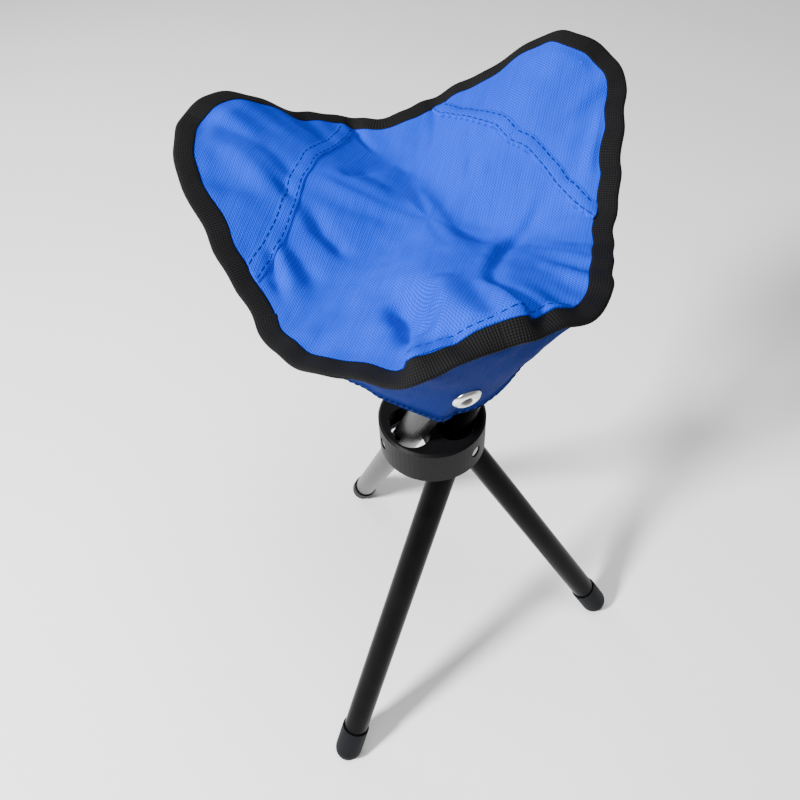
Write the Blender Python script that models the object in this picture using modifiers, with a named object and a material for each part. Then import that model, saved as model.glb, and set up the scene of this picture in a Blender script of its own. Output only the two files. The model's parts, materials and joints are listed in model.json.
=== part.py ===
"""Folding tripod camp stool: three tubes that cross in a plastic hub, under a triangular cloth seat.

Metres, +Z up, hub axis on world Z, feet on the plane z = 0. Run with blender --background --python part.py.
"""

import math

import bmesh
import bpy
from mathutils import Matrix, Vector

# Driving dimensions, in metres and radians
TUBE_DIAMETER = 0.014
TUBE_WALL = 0.0008
SPLAY = math.radians(29.0)  # each leg's lean from upright when the stool is open
PIVOT_RADIUS = 0.0135  # from the hub's axis to the middle of a tube
LOWER_LENGTH = 0.225  # pivot to the end of the foot, along the leg
TIP_HEIGHT = 0.168  # pivot to the middle of the round upper end, along the leg
CORNER_AZIMUTHS = (30.0, 150.0, 270.0)  # where the three seat corners point, in degrees
GAP = 0.0003  # between pieces that touch

# Hub
HUB_RADIUS = 0.0268
HUB_HEIGHT = 0.0215
HUB_EDGE = 0.0012
SLOT_HALF_WIDTH = 0.009
SLOT_OVERRUN = 0.001  # the cutters stand out of both faces
# each slot's two ends across the leg at the top, middle and bottom of its cutter
SLOT_ENDS = ((-0.0090, 0.0172), (-0.0100, 0.0115), (-0.0154, 0.0095))
BOSS_RADIUS = 0.0035
BOSS_CLEARANCE = 0.0004
PIN_RADIUS = 0.0015
PIN_HEAD_RADIUS = 0.0025
PIN_HEAD_HEIGHT = 0.0014
PIN_INNER_END = 0.0025
BORE_RADIUS = 0.0018
COUNTERBORE_RADIUS = 0.0031
COUNTERBORE_FLOOR = 0.0244

# Foot caps and end plugs
FOOT_RADIUS = 0.0079
FOOT_LENGTH = 0.025
CAP_CLEARANCE = 0.0002
PLUG_STEM = 0.018

# Seat: a shallow cone of straight lines from its lowest point to a three-cornered rim
SEAT_CENTRE_HEIGHT = 0.322
RIM_RADIUS = (0.084, 0.014)  # mean radius, and how far the corners stand out and the sides draw in
RIM_HEIGHT = (0.343, 0.0165)  # mean height, and how far the corners rise and the sides sag
CLOTH_THICKNESS = 0.0015
TAPE_WIDTH = 0.007
TAPE_THICKNESS = 0.0026
PANEL_SHIFT = 0.0004  # each panel stands off its neighbours by half of this along both fold lines
PANEL_START = 0.04  # fraction of the way from the centre to the rim

# Corner pockets and their rivets
POCKET_THICKNESS = 0.001
POCKET_INNER_RADIUS = 0.0074
POCKET_POINT = 0.076  # pivot to the point of the pocket's V, along the leg
POCKET_RISE = 0.030  # how much higher the V's edge is at the pocket's sides
POCKET_TOP = 0.158
POCKET_HALF_ANGLE = math.radians(80.0)
WING_THICKNESS = 0.0012
WING_LEG_OFFSET = 0.0088
WING_RIM_DROP = 0.0022
WING_RIM_ANGLES = (math.radians(9.0), math.radians(50.0))
WING_ENDS = (0.03, 0.97)
RIVET_HEIGHT = 0.117  # pivot to rivet, along the leg
RIVET_HEAD = (0.005, 0.0013)  # radius and thickness
RIVET_DIMPLE = (0.0022, 0.0007)  # radius and depth
RIVET_SHANK_RADIUS = 0.0015
RIVET_TAIL_RADIUS = 0.0023
RIVET_HOLE_RADIUS = 0.0018

ROUND_STEPS = 32
SMALL_STEPS = 20
SPAN_STEPS = 14
FAR = 0.03  # how far a cutter runs past what it cuts

TUBE_RADIUS = TUBE_DIAMETER / 2
FOOT_CENTRE = LOWER_LENGTH - FOOT_RADIUS  # pivot to the middle of the foot's round end
PIVOT_HEIGHT = FOOT_CENTRE * math.cos(SPLAY) + FOOT_RADIUS
# the angle at the hub's axis between a leg's pivot and its upper end
SWIRL = math.atan2(TIP_HEIGHT * math.sin(SPLAY), PIVOT_RADIUS)
CORNER_RADIUS = math.hypot(PIVOT_RADIUS, TIP_HEIGHT * math.sin(SPLAY))

MATERIALS = {
    "hub_plastic": ((0.016, 0.016, 0.017), 0.42, 0.0),
    "tube_paint": ((0.008, 0.008, 0.009), 0.16, 0.0),
    "foot_rubber": ((0.018, 0.019, 0.022), 0.6, 0.0),
    "plug_plastic": ((0.02, 0.02, 0.02), 0.5, 0.0),
    "pin_steel": ((0.35, 0.35, 0.36), 0.35, 1.0),
    "rivet_nickel": ((0.75, 0.74, 0.72), 0.25, 1.0),
    "seat_cloth": ((0.018, 0.19, 0.72), 0.8, 0.0),
    "binding_tape": ((0.012, 0.012, 0.013), 0.85, 0.0),
}


def start():
    """Empty the scene and make one collection for the parts and one for the cutters."""
    for ob in list(bpy.data.objects):
        bpy.data.objects.remove(ob, do_unlink=True)
    for name in ("camp_stool", "cutters"):
        bpy.context.scene.collection.children.link(bpy.data.collections.new(name))


def material(name):
    found = bpy.data.materials.get(name)
    if found:
        return found
    colour, roughness, metallic = MATERIALS[name]
    made = bpy.data.materials.new(name)
    made.use_nodes = True
    shader = made.node_tree.nodes["Principled BSDF"]
    shader.inputs["Base Color"].default_value = (*colour, 1.0)
    shader.inputs["Roughness"].default_value = roughness
    shader.inputs["Metallic"].default_value = metallic
    made.diffuse_color = (*colour, 1.0)
    return made


def add(name, mesh, material_name=None, parent=None):
    """Link a mesh as a part, or as a hidden cutter when it has no material."""
    ob = bpy.data.objects.new(name, mesh)
    home = "camp_stool" if material_name else "cutters"
    bpy.data.collections[home].objects.link(ob)
    if material_name:
        mesh.materials.append(material(material_name))
    else:
        ob.hide_render = True
        ob.display_type = "WIRE"
    if parent:
        ob.parent = parent
    return ob


def empty(name, matrix, parent=None):
    ob = bpy.data.objects.new(name, None)
    ob.empty_display_size = 0.01
    bpy.data.collections["camp_stool"].objects.link(ob)
    ob.parent = parent
    if parent:
        ob.matrix_parent_inverse = parent.matrix_world.inverted()
    ob.matrix_world = matrix
    bpy.context.view_layer.update()
    return ob


def mesh_from(bm, name):
    mesh = bpy.data.meshes.new(name)
    bm.to_mesh(mesh)
    bm.free()
    return mesh


def cylinder(name, radius, start, end, matrix, steps=SMALL_STEPS):
    """A cylinder along the matrix's Z axis, between two heights on it."""
    bm = bmesh.new()
    middle = Matrix.Translation((0, 0, (start + end) / 2))
    bmesh.ops.create_cone(
        bm, cap_ends=True, segments=steps, radius1=radius, radius2=radius, depth=end - start, matrix=matrix @ middle
    )
    return mesh_from(bm, name)


def turned(name, profile, material_name, parent, closed=False, steps=ROUND_STEPS, flip=False):
    """Spin a profile of (radius, height) points round the object's Z axis; flip turns its faces outward."""
    bm = bmesh.new()
    points = [bm.verts.new((radius, 0.0, height)) for radius, height in profile]
    for a, b in zip(points, points[1:]):
        bm.edges.new((a, b))
    if closed:
        bm.edges.new((points[-1], points[0]))
    ob = add(name, mesh_from(bm, name), material_name, parent)
    spin = ob.modifiers.new("spin", "SCREW")
    spin.steps = steps
    spin.render_steps = steps
    spin.use_merge_vertices = True
    spin.merge_threshold = 0.00001
    spin.use_normal_calculate = True
    spin.use_normal_flip = flip
    return ob


def sheet(name, point, columns, rows, thickness, material_name, parent):
    """A sheet of cloth: a grid laid on point(u, v), for u and v from 0 to 1, with Solidify for its thickness."""
    bm = bmesh.new()
    bmesh.ops.create_grid(bm, x_segments=columns, y_segments=rows, size=0.5)
    into_parent = parent.matrix_world.inverted()
    for vert in bm.verts:
        vert.co = into_parent @ point(vert.co.x + 0.5, vert.co.y + 0.5)
    ob = add(name, mesh_from(bm, name), material_name, parent)
    solidify = ob.modifiers.new("thickness", "SOLIDIFY")
    solidify.thickness = thickness
    solidify.offset = 0.0
    return ob


def cut(ob, cutter, operation="DIFFERENCE"):
    boolean = ob.modifiers.new(cutter.name, "BOOLEAN")
    boolean.operation = operation
    boolean.solver = "EXACT"
    boolean.object = cutter


def arc(radius, height, first, last, count):
    """Points of an arc about (0, height) in a profile, by angle from the horizontal."""
    angles = [first + (last - first) * k / count for k in range(count + 1)]
    return [(radius * max(math.cos(a), 0.0), height + radius * math.sin(a)) for a in angles]


def leg_frame(azimuth):
    """A leg's frame at its pivot: X is the pin's axis, away from the hub, and Z runs up along the tube."""
    around = math.radians(azimuth) - SWIRL
    outward = Vector((math.cos(around), math.sin(around), 0.0))
    across = Vector((-math.sin(around), math.cos(around), 0.0))
    along = across * math.sin(SPLAY) + Vector((0, 0, math.cos(SPLAY)))
    frame = Matrix((outward, along.cross(outward), along)).transposed().to_4x4()
    frame.translation = outward * PIVOT_RADIUS + Vector((0, 0, PIVOT_HEIGHT))
    return frame


def pin_frame(azimuth):
    """A frame on the hub's axis at the pins' height, whose Z is a pin's axis and whose X runs along the slot."""
    around = math.radians(azimuth) - SWIRL
    outward = Vector((math.cos(around), math.sin(around), 0.0))
    across = Vector((-math.sin(around), math.cos(around), 0.0))
    frame = Matrix((across, outward.cross(across), outward)).transposed().to_4x4()
    frame.translation = (0, 0, PIVOT_HEIGHT)
    return frame


# Hub and pins


def slot_section(bm, turn, low, high, height):
    """One level of a slot: two half circles across the leg's swing, joined by straight sides."""
    ring = []
    half = ROUND_STEPS // 2
    for k in range(ROUND_STEPS):
        far_end = k < half
        angle = math.pi * (k % half) / (half - 1) + (0.0 if far_end else math.pi)
        end = high - SLOT_HALF_WIDTH if far_end else low + SLOT_HALF_WIDTH
        x = PIVOT_RADIUS + SLOT_HALF_WIDTH * math.cos(angle)
        y = end + SLOT_HALF_WIDTH * math.sin(angle)
        ring.append(bm.verts.new(turn @ Vector((x, y, PIVOT_HEIGHT + height))))
    return ring


def slot_cutter(name, azimuth):
    """The clearance for one leg's swing, a loft between sections that differ at the top, middle and bottom."""
    turn = Matrix.Rotation(math.radians(azimuth) - SWIRL, 4, "Z")
    half = HUB_HEIGHT / 2 + SLOT_OVERRUN
    bm = bmesh.new()
    rings = []
    for height, (low, high) in zip((half, 0.0, -half), SLOT_ENDS):
        rings.append(slot_section(bm, turn, low, high, height))
    for upper, lower in zip(rings, rings[1:]):
        for k in range(ROUND_STEPS):
            n = (k + 1) % ROUND_STEPS
            bm.faces.new((upper[k], lower[k], lower[n], upper[n]))
    bm.faces.new(rings[0])
    bm.faces.new(rings[-1][::-1])
    bmesh.ops.recalc_face_normals(bm, faces=bm.faces)
    return add(name, mesh_from(bm, name))


def make_hub():
    root = empty("hub_origin", Matrix.Translation((0, 0, PIVOT_HEIGHT)))
    half = HUB_HEIGHT / 2
    profile = [(0.0, -half), (HUB_RADIUS - HUB_EDGE, -half), (HUB_RADIUS, -half + HUB_EDGE)]
    profile += [(HUB_RADIUS, half - HUB_EDGE), (HUB_RADIUS - HUB_EDGE, half), (0.0, half)]
    hub = turned("hub", profile, "hub_plastic", root, steps=64)
    slot_low = PIVOT_RADIUS - SLOT_HALF_WIDTH
    slot_high = PIVOT_RADIUS + SLOT_HALF_WIDTH
    boss_reach = TUBE_RADIUS + BOSS_CLEARANCE
    for n, azimuth in enumerate(CORNER_AZIMUTHS, 1):
        cut(hub, slot_cutter(f"slot_cutter_{n}", azimuth))
    for n, azimuth in enumerate(CORNER_AZIMUTHS, 1):
        frame = pin_frame(azimuth)
        inner = cylinder("boss", BOSS_RADIUS, slot_low - 0.002, PIVOT_RADIUS - boss_reach, frame)
        outer = cylinder("boss", BOSS_RADIUS, PIVOT_RADIUS + boss_reach, slot_high + 0.001, frame)
        cut(hub, add(f"inner_boss_{n}", inner), "UNION")
        cut(hub, add(f"outer_boss_{n}", outer), "UNION")
        bore = cylinder("bore", BORE_RADIUS, PIN_INNER_END - GAP, FAR, frame)
        recess = cylinder("recess", COUNTERBORE_RADIUS, COUNTERBORE_FLOOR, FAR, frame)
        cut(hub, add(f"bore_cutter_{n}", bore))
        cut(hub, add(f"counterbore_cutter_{n}", recess))
        pin = [(0.0, PIN_INNER_END), (PIN_RADIUS, PIN_INNER_END), (PIN_RADIUS, COUNTERBORE_FLOOR + GAP)]
        pin += [(PIN_HEAD_RADIUS, COUNTERBORE_FLOOR + GAP)]
        pin += [(PIN_HEAD_RADIUS, COUNTERBORE_FLOOR + GAP + PIN_HEAD_HEIGHT)]
        pin += [(0.0, COUNTERBORE_FLOOR + GAP + PIN_HEAD_HEIGHT)]
        axis = empty(f"pin_axis_{n}", frame)
        turned(f"pivot_pin_{n}", pin, "pin_steel", axis, steps=SMALL_STEPS, flip=True)


# Legs


def make_leg(n, azimuth):
    """One leg's pieces, in its own frame, which the leg's pivot empty carries."""
    pivot = empty(f"leg_{n}_pivot", leg_frame(azimuth))
    inside = TUBE_RADIUS - TUBE_WALL
    foot_floor = -(FOOT_CENTRE - 2 * GAP)
    low = foot_floor + GAP
    high = TIP_HEIGHT - 0.002
    wall = [(inside, low), (TUBE_RADIUS, low), (TUBE_RADIUS, high), (inside, high)]
    tube = turned(f"leg_tube_{n}", wall, "tube_paint", pivot, closed=True)
    across = Matrix.Rotation(math.pi / 2, 4, "Y")
    outward = Matrix.Translation((0, 0, RIVET_HEIGHT)) @ Matrix.Rotation(-math.pi / 2, 4, "X")
    pin_hole = add(f"pin_hole_cutter_{n}", cylinder("hole", BORE_RADIUS, -FAR, FAR, across), parent=pivot)
    rivet_hole = add(f"rivet_hole_cutter_{n}", cylinder("hole", RIVET_HOLE_RADIUS, 0, FAR, outward), parent=pivot)
    cut(tube, pin_hole)
    cut(tube, rivet_hole)

    bore = TUBE_RADIUS + CAP_CLEARANCE
    mouth = -LOWER_LENGTH + FOOT_LENGTH
    cap = [(0.0, foot_floor), (bore, foot_floor), (bore, mouth), (FOOT_RADIUS, mouth)]
    cap += arc(FOOT_RADIUS, -FOOT_CENTRE, 0.0, -math.pi / 2, 7)
    turned(f"foot_cap_{n}", cap, "foot_rubber", pivot)

    stem = inside - GAP
    shoulder = high + GAP
    plug = [(0.0, high - PLUG_STEM), (stem, high - PLUG_STEM), (stem, shoulder), (TUBE_RADIUS, shoulder)]
    plug += arc(TUBE_RADIUS, TIP_HEIGHT, 0.0, math.pi / 2, 7)
    turned(f"tip_plug_{n}", plug, "plug_plastic", pivot)

    under = POCKET_INNER_RADIUS + POCKET_THICKNESS + GAP
    radius, height = RIVET_HEAD
    dimple, depth = RIVET_DIMPLE
    tail = TUBE_RADIUS - TUBE_WALL - 2 * GAP
    rivet = [(0.0, tail - 0.0007), (RIVET_TAIL_RADIUS, tail - 0.0007), (RIVET_TAIL_RADIUS, tail)]
    rivet += [(RIVET_SHANK_RADIUS, tail), (RIVET_SHANK_RADIUS, under), (radius, under)]
    rivet += [(radius - 0.0005, under + height), (dimple + 0.0006, under + height)]
    rivet += [(dimple, under + height - depth), (0.0, under + height - depth)]
    axis = empty(f"rivet_axis_{n}", pivot.matrix_world @ outward, pivot)
    turned(f"pocket_rivet_{n}", rivet, "rivet_nickel", axis, steps=SMALL_STEPS, flip=True)

    pocket = sheet(
        f"corner_pocket_{n}", lambda u, v: trough_point(pivot, u, v), 12, 10, POCKET_THICKNESS, "seat_cloth", pivot
    )
    cut(pocket, rivet_hole)
    return pivot


# Cloth


def trough_point(pivot, u, v):
    """The pocket where it wraps the outer side of its tube, above the V of its mouth."""
    angle = (2 * u - 1) * POCKET_HALF_ANGLE
    radius = POCKET_INNER_RADIUS + POCKET_THICKNESS / 2
    low = POCKET_POINT + POCKET_RISE * abs(2 * u - 1)
    place = Vector((radius * math.sin(angle), radius * math.cos(angle), low + (POCKET_TOP - low) * v))
    return pivot.matrix_world @ place


def rim_point(azimuth, psi):
    """The rim at an angle psi round the hub's axis from a corner."""
    radius = RIM_RADIUS[0] + RIM_RADIUS[1] * math.cos(3 * psi)
    height = RIM_HEIGHT[0] + RIM_HEIGHT[1] * math.cos(3 * psi)
    around = math.radians(azimuth) + psi
    return Vector((radius * math.cos(around), radius * math.sin(around), height))


def seat_point(azimuth, psi, inset=0.0, fraction=1.0):
    """The seat's middle surface on the line from its centre to the rim, inset metres short of the rim."""
    centre = Vector((0, 0, SEAT_CENTRE_HEIGHT))
    line = rim_point(azimuth, psi) - centre
    reach = (line.length - inset) * fraction
    return centre + line.normalized() * reach


def make_panel(name, azimuth, side, parent):
    """One sixth of the seat cloth and of its binding, and one wing of the pocket below it."""
    middle = math.radians(azimuth + side * 30.0)
    shift = Vector((math.cos(middle), math.sin(middle), 0.0)) * PANEL_SHIFT
    sweep = side * math.radians(60.0)

    def cloth(u, v):
        fraction = PANEL_START + (1 - PANEL_START) * v
        return shift + seat_point(azimuth, sweep * u, TAPE_WIDTH + GAP + PANEL_SHIFT, fraction)

    def tape(u, v):
        return shift + seat_point(azimuth, sweep * u, PANEL_SHIFT + TAPE_WIDTH * (1 - v))

    sheet(f"seat_panel_{name}", cloth, SPAN_STEPS, 6, CLOTH_THICKNESS, "seat_cloth", parent)
    sheet(f"rim_tape_{name}", tape, SPAN_STEPS, 2, TAPE_THICKNESS, "binding_tape", parent)


def make_wing(name, azimuth, side, pivot, parent):
    """A side of the pocket, in straight lines from the tube's flank up to the seat's rim."""

    def wing(u, v):
        down = WING_ENDS[0] + (WING_ENDS[1] - WING_ENDS[0]) * u
        height = POCKET_TOP - (POCKET_TOP - POCKET_POINT - POCKET_RISE) * down
        flank = pivot.matrix_world @ Vector((-side * WING_LEG_OFFSET, 0.0, height))
        first, last = WING_RIM_ANGLES
        rim = seat_point(azimuth, side * (first + (last - first) * down), TAPE_WIDTH + 0.003)
        rim.z -= WING_RIM_DROP
        return flank.lerp(rim, v)

    sheet(f"pocket_wing_{name}", wing, 10, 8, WING_THICKNESS, "seat_cloth", parent)


def make_seat(n, azimuth, pivot):
    tip = seat_point(azimuth, 0.0)
    centre = Vector((0, 0, SEAT_CENTRE_HEIGHT))
    tip = centre + (tip - centre) * (CORNER_RADIUS / Vector((tip.x, tip.y)).length)
    for word, side in (("left", 1), ("right", -1)):
        name = f"{n}_{word}"
        hinge = empty(f"seat_{name}_hinge", Matrix.Translation(tip))
        make_panel(name, azimuth, side, hinge)
        make_wing(name, azimuth, side, pivot, hinge)


def main():
    start()
    make_hub()
    for n, azimuth in enumerate(CORNER_AZIMUTHS, 1):
        pivot = make_leg(n, azimuth)
        make_seat(n, azimuth, pivot)


main()
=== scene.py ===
"""How the camp stool looks: woven seat cloth, ribbed binding, stitched corner pockets, rivets and finishes.

Metres, +Z up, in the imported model's frame. Folds and hems are given on the seat seen from above,
in millimetres.
"""

import json
import math

import bpy
import numpy as np
from mathutils import Matrix, Vector, noise


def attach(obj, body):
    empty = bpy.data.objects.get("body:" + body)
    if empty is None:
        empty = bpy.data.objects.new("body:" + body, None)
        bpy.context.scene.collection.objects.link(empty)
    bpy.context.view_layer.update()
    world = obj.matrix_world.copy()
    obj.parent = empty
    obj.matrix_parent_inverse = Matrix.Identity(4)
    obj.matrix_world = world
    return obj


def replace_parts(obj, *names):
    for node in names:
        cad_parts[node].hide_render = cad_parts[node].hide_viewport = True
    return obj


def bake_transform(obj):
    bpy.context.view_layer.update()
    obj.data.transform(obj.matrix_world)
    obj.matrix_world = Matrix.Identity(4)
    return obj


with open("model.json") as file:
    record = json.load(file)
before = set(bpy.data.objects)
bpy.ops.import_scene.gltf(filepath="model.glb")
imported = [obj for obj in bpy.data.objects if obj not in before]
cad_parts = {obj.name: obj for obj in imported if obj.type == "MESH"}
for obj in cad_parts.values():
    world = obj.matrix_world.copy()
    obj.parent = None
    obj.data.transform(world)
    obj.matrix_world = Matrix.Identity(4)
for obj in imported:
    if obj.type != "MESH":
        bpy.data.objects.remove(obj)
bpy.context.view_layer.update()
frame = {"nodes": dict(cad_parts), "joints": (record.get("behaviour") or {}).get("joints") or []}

MM = 0.001

# The seat's even shape, as the CAD model has it
CORNERS = (30.0, 150.0, 270.0)
CENTRE = np.array((0.0, 0.0, 0.322))
RIM_RADIUS = (0.084, 0.014)
RIM_HEIGHT = (0.343, 0.0165)
SPLAY = math.radians(29.0)

# How the sewn rim wanders from it: azimuth in degrees, then millimetres outward and upward
RIM_WANDER = (
    (0, -8, 4.5), (8, -8, 3), (15, -4.5, 2), (25, -4, 4), (35, -5, 7), (43, -2.5, 7), (52, -1.5, 2),
    (62, -0.5, 1.5), (75, 3, 3.5), (85, -0.5, 6), (92, -2, 5), (105, 3.5, 0), (115, -0.5, -2.5),
    (125, -2.5, -4), (138, -2, 0.5), (150, -1, -2.5), (165, -1, -1), (180, 1, 2), (195, 6.5, 2),
    (210, 12, 0), (222, 16, -1.5), (232, 14, -4.5), (240, 9.5, -8), (247, 10, -8.5), (250, 10, -9.5),
    (253, 9, -10.5), (257, 6, -9.5), (261, 2, -8.5), (265, -1, -10), (270, -3, -11.5), (275, -3, -9),
    (279, -3, -7), (285, 0, -7), (292, 1.5, -3.9), (300, 0, 0), (308, 0, 3), (315, -0.1, 5.2),
    (330, 0, 6.2), (341, -2.2, 6.2), (350, -4.4, 5.8),
)
# How far the binding turns down from the cloth's own slope, in degrees, by azimuth
BINDING_TILT = (
    (0, 0), (30, 8), (90, 0), (150, 8), (225, 0), (240, -6), (247, -6), (251, 10), (255, 45), (260, 25),
    (263, 12), (269, 50), (275, 50), (278.5, 10), (282, 20), (288, 10), (300, 4), (330, 0),
)

CLOTH = 0.0008
# The rim's small ripples: size in millimetres, waves in a turn, and phase in degrees
OUTWARD_RIPPLES = ((0.4, 17, 40), (0.3, 29, 0))
UPWARD_RIPPLES = ((0.5, 23, 10), (0.3, 37, 80))
BINDING_WIDTH = 0.0080
# Half of the binding's section: distance in from its outer fold, and height over the cloth's middle
BINDING_SECTION = (
    (0, 0), (0.15, 0.45), (0.6, 0.8), (1.8, 0.95), (4.2, 0.9), (6.8, 0.85), (7.7, 0.75), (8.0, 0.42)
)
RIB_PITCH = 0.0009
RIB_DEPTH = 0.00004

# Folds in the seat: width, height (below 0 is a valley) and step up to the left of the way it runs,
# then its points, all in millimetres
FOLDS = (
    (6, 1.6, 0, (-72, 47), (-58, 30), (-46, 20)),
    (4, -1.0, -0.6, (-62, 38), (-55, 28), (-49, 20), (-46, 14)),
    (5, 1.5, 0, (-74, 34), (-62, 20), (-54, 9)),
    (3, -1.2, -0.6, (-55, 18), (-53, 14), (-50, 6)),
    (4.5, -0.8, -2.0, (-48, 10), (-44, -4), (-38, -12), (-32, -18)),
    (5, -0.9, -1.2, (-47, 13), (-29, 5), (-8, -3)),
    (9, 1.8, 0, (-44, 20), (-26, 14), (-6, 6)),
    (4, -1.0, -0.9, (-57, -6), (-55, -13), (-51, -20), (-47, -31)),
    (3.5, 1.1, 0, (-60, -8), (-57, -20), (-55, -36)),
    (3, -1.2, -0.8, (-62, -8), (-62, -20), (-61, -32)),
    (2.6, -0.7, -0.5, (-31, 20), (-24, 23), (-14, 29)),
    (6, 1.2, 0, (-16, 22), (0, 34)),
    (10, 0, -3.6, (2, 36), (4, 12), (8, -10), (8, -34)),
    (2.6, -0.5, -0.4, (24, 28), (22, 21), (20, 13)),
    (3.4, -0.5, -1.6, (50, 6), (42, -7), (31, -18), (20, -29), (13, -41), (8, -51), (4, -64), (1, -78)),
    (7, -7.5, -5.5, (-24, -46), (-21, -63), (-22, -80)),
    (9, 2.6, 0, (-12, -72), (-10, -46)),
    (4.5, -1.1, -0.6, (76, 25), (63, 6), (50, -9)),
    (4.5, 2.0, 0, (81, 22), (70, 5), (58, -9)),
    (9, 1.2, 0, (60, 38), (40, 20)),
)
# How strongly the folds show, and the share of a fold's run over which it fades in and out
FOLD_STRENGTH = 1.5
FOLD_FADE = 0.35
# The cloth's own unevenness: height and spread in millimetres, and the layer of noise it is read from
GRAINS = ((0.8, 16, 3.0), (0.25, 6, 7.0))
# Places where the cloth stands up over something: x, y, width and height in millimetres
LUMPS = ((-6, -71, 10, 12.0), (0, -82, 9, 5.0), (71, 41, 9, 1.8), (-71, 41, 9, 1.8))

# Hems across the corners: distance from the centre in millimetres, and how far they lie askew in degrees
HEMS = ((43.5, 7.0), (46.5, -1.5), (84.5, -7.0))
# How thickly each corner's hem is folded, beside the section below
HEM_BOLDNESS = (1.25, 0.55, 0.8)
# The hem's section: distance outward from its edge and height over the cloth, in millimetres
HEM_SECTION = (
    (-0.35, -0.2), (-0.2, 0.6), (0.2, 1.0), (1.1, 0.62), (2.2, 0.85), (4.0, 0.6), (5.2, 0.25), (6.0, 0.12),
    (6.8, -0.15),
)
HEM_ROWS = (1.1, 5.2)
HEM_SAMPLES = 100
# A stitch's length, width and height, and how its thickness swells along it
STITCH = (0.0025, 0.0006, 0.00022)
STITCH_PITCH = 0.0033
STITCH_STEPS = (0.0, 0.12, 0.4, 0.6, 0.88, 1.0)
STITCH_SWELL = (0.25, 0.85, 1.0, 1.0, 0.85, 0.25)
STITCH_ANGLES = (0, 36, 72, 108, 144, 180, 270)

# A pocket wraps its tube at this radius, and runs from its point up to its top, measured along the leg
POCKET_RADIUS = 0.0079
POCKET_POINT = 0.076
POCKET_TOP = 0.166
POCKET_RIM_ANGLE = 50.0
POCKET_CLOTH = 0.0009
# The mouth's hem: its extra height, where it ends above the mouth, and its two rows of stitches
POCKET_HEM = 0.0010
POCKET_HEM_EDGE = (0.0045, 0.0052)
POCKET_ROWS = (0.0012, 0.0038)
POCKET_THREAD_RISE = 0.0006
# Where a pocket's rivet sits up its leg from the pivot, and how far its face tilts up along the leg
RIVET_HEIGHT = 0.117
RIVET_TILT = math.radians(12.0)
# The rivet's profile from its middle to under its edge: radius and height, in metres
RIVET_PROFILE = (
    (0.0, -0.0006), (0.0016, -0.0005), (0.0023, -0.0001), (0.0027, 0.0009), (0.0032, 0.0017),
    (0.0040, 0.0018), (0.0048, 0.0013), (0.0055, 0.0005), (0.0057, 0.0), (0.0053, -0.0002),
)
RIVET_HOLLOW = 0.0026
# How loosely each pocket hangs on its left and right sides
FLARES = ((0.35, 0.3), (0.3, 0.35), (1.0, 0.1))

# Steps across a sixth of the seat, and from its middle to the rim
ACROSS = 60
ALONG = 72


# Curves and surfaces of the seat


def smooth(x, low, high):
    t = np.clip((x - low) / (high - low), 0, 1)
    return t * t * (3 - 2 * t)


def unit(v):
    return v / np.linalg.norm(v, axis=-1, keepdims=True)


def around(table, azimuth):
    """A smooth closed curve through a table of (azimuth, values...), at any azimuths, all in degrees."""
    knots = np.array(table, float)
    turn = np.zeros(knots.shape[1])
    turn[0] = 360.0
    wide = np.concatenate((knots[-2:] - turn, knots, knots[:2] + turn))
    x = np.mod(azimuth, 360.0)
    k = np.clip(np.searchsorted(wide[:, 0], x, side="right") - 1, 1, len(wide) - 3)
    x0, x1 = wide[k, :1], wide[k + 1, :1]
    y0, y1 = wide[k, 1:], wide[k + 1, 1:]
    slope_0 = (y1 - wide[k - 1, 1:]) / (x1 - wide[k - 1, :1])
    slope_1 = (wide[k + 2, 1:] - y0) / (wide[k + 2, :1] - x0)
    t = (x[:, None] - x0) / (x1 - x0)
    span = x1 - x0
    start = (2 * t**3 - 3 * t**2 + 1) * y0 + (t**3 - 2 * t**2 + t) * span * slope_0
    return start + (3 * t**2 - 2 * t**3) * y1 + (t**3 - t**2) * span * slope_1


def polar(azimuth, radius, height):
    angle = np.radians(azimuth)
    return np.stack((radius * np.cos(angle), radius * np.sin(angle), height), axis=-1)


def even_slope(azimuth):
    """The slope of the seat's even shape, from its centre to the rim, at azimuths in degrees."""
    wave = np.cos(np.radians(3 * (np.asarray(azimuth, float) - CORNERS[0])))
    return (RIM_HEIGHT[0] + RIM_HEIGHT[1] * wave - CENTRE[2]) / (RIM_RADIUS[0] + RIM_RADIUS[1] * wave)


def ripples(waves, azimuth):
    return sum(size * MM * np.sin(np.radians(azimuth * count + phase)) for size, count, phase in waves)


def rim_edge(azimuth):
    """The outer edge of the seat, under the binding's fold."""
    azimuth = np.asarray(azimuth, float)
    wave = np.cos(np.radians(3 * (azimuth - CORNERS[0])))
    out, up = around(RIM_WANDER, azimuth).T * MM
    ripple = ripples(OUTWARD_RIPPLES, azimuth)
    lift = ripples(UPWARD_RIPPLES, azimuth)
    still = smooth(np.abs(np.sin(np.radians(1.5 * (azimuth - CORNERS[0] - 60)))), 0, 0.3)
    radius = RIM_RADIUS[0] + RIM_RADIUS[1] * wave + out + ripple
    even = RIM_HEIGHT[0] + RIM_HEIGHT[1] * wave + lift * still
    on_line = CENTRE[2] + even_slope(azimuth) * radius
    return polar(azimuth, radius, even + up + (on_line - even) * (1 - still))


def binding_frame(azimuth):
    """At each azimuth of the rim: its edge, the way out along the binding, and the way up through it."""
    azimuth = np.asarray(azimuth, float)
    reach = 2.0
    edge = rim_edge(azimuth)
    tangent = unit(rim_edge(azimuth + reach) - rim_edge(azimuth - reach))
    slope = unit(edge - CENTRE)
    tilt = np.radians(around(BINDING_TILT, azimuth))
    inward = np.cross(tangent, slope)
    up = unit(inward * np.sign(inward[:, 2:]))
    flat = unit(np.cross(up, tangent))
    flat = flat * np.sign((flat * slope).sum(-1, keepdims=True))
    out = unit(flat * np.cos(tilt) - up * np.sin(tilt))
    over = unit(up * np.cos(tilt) + flat * np.sin(tilt))
    return edge, out, over


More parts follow.
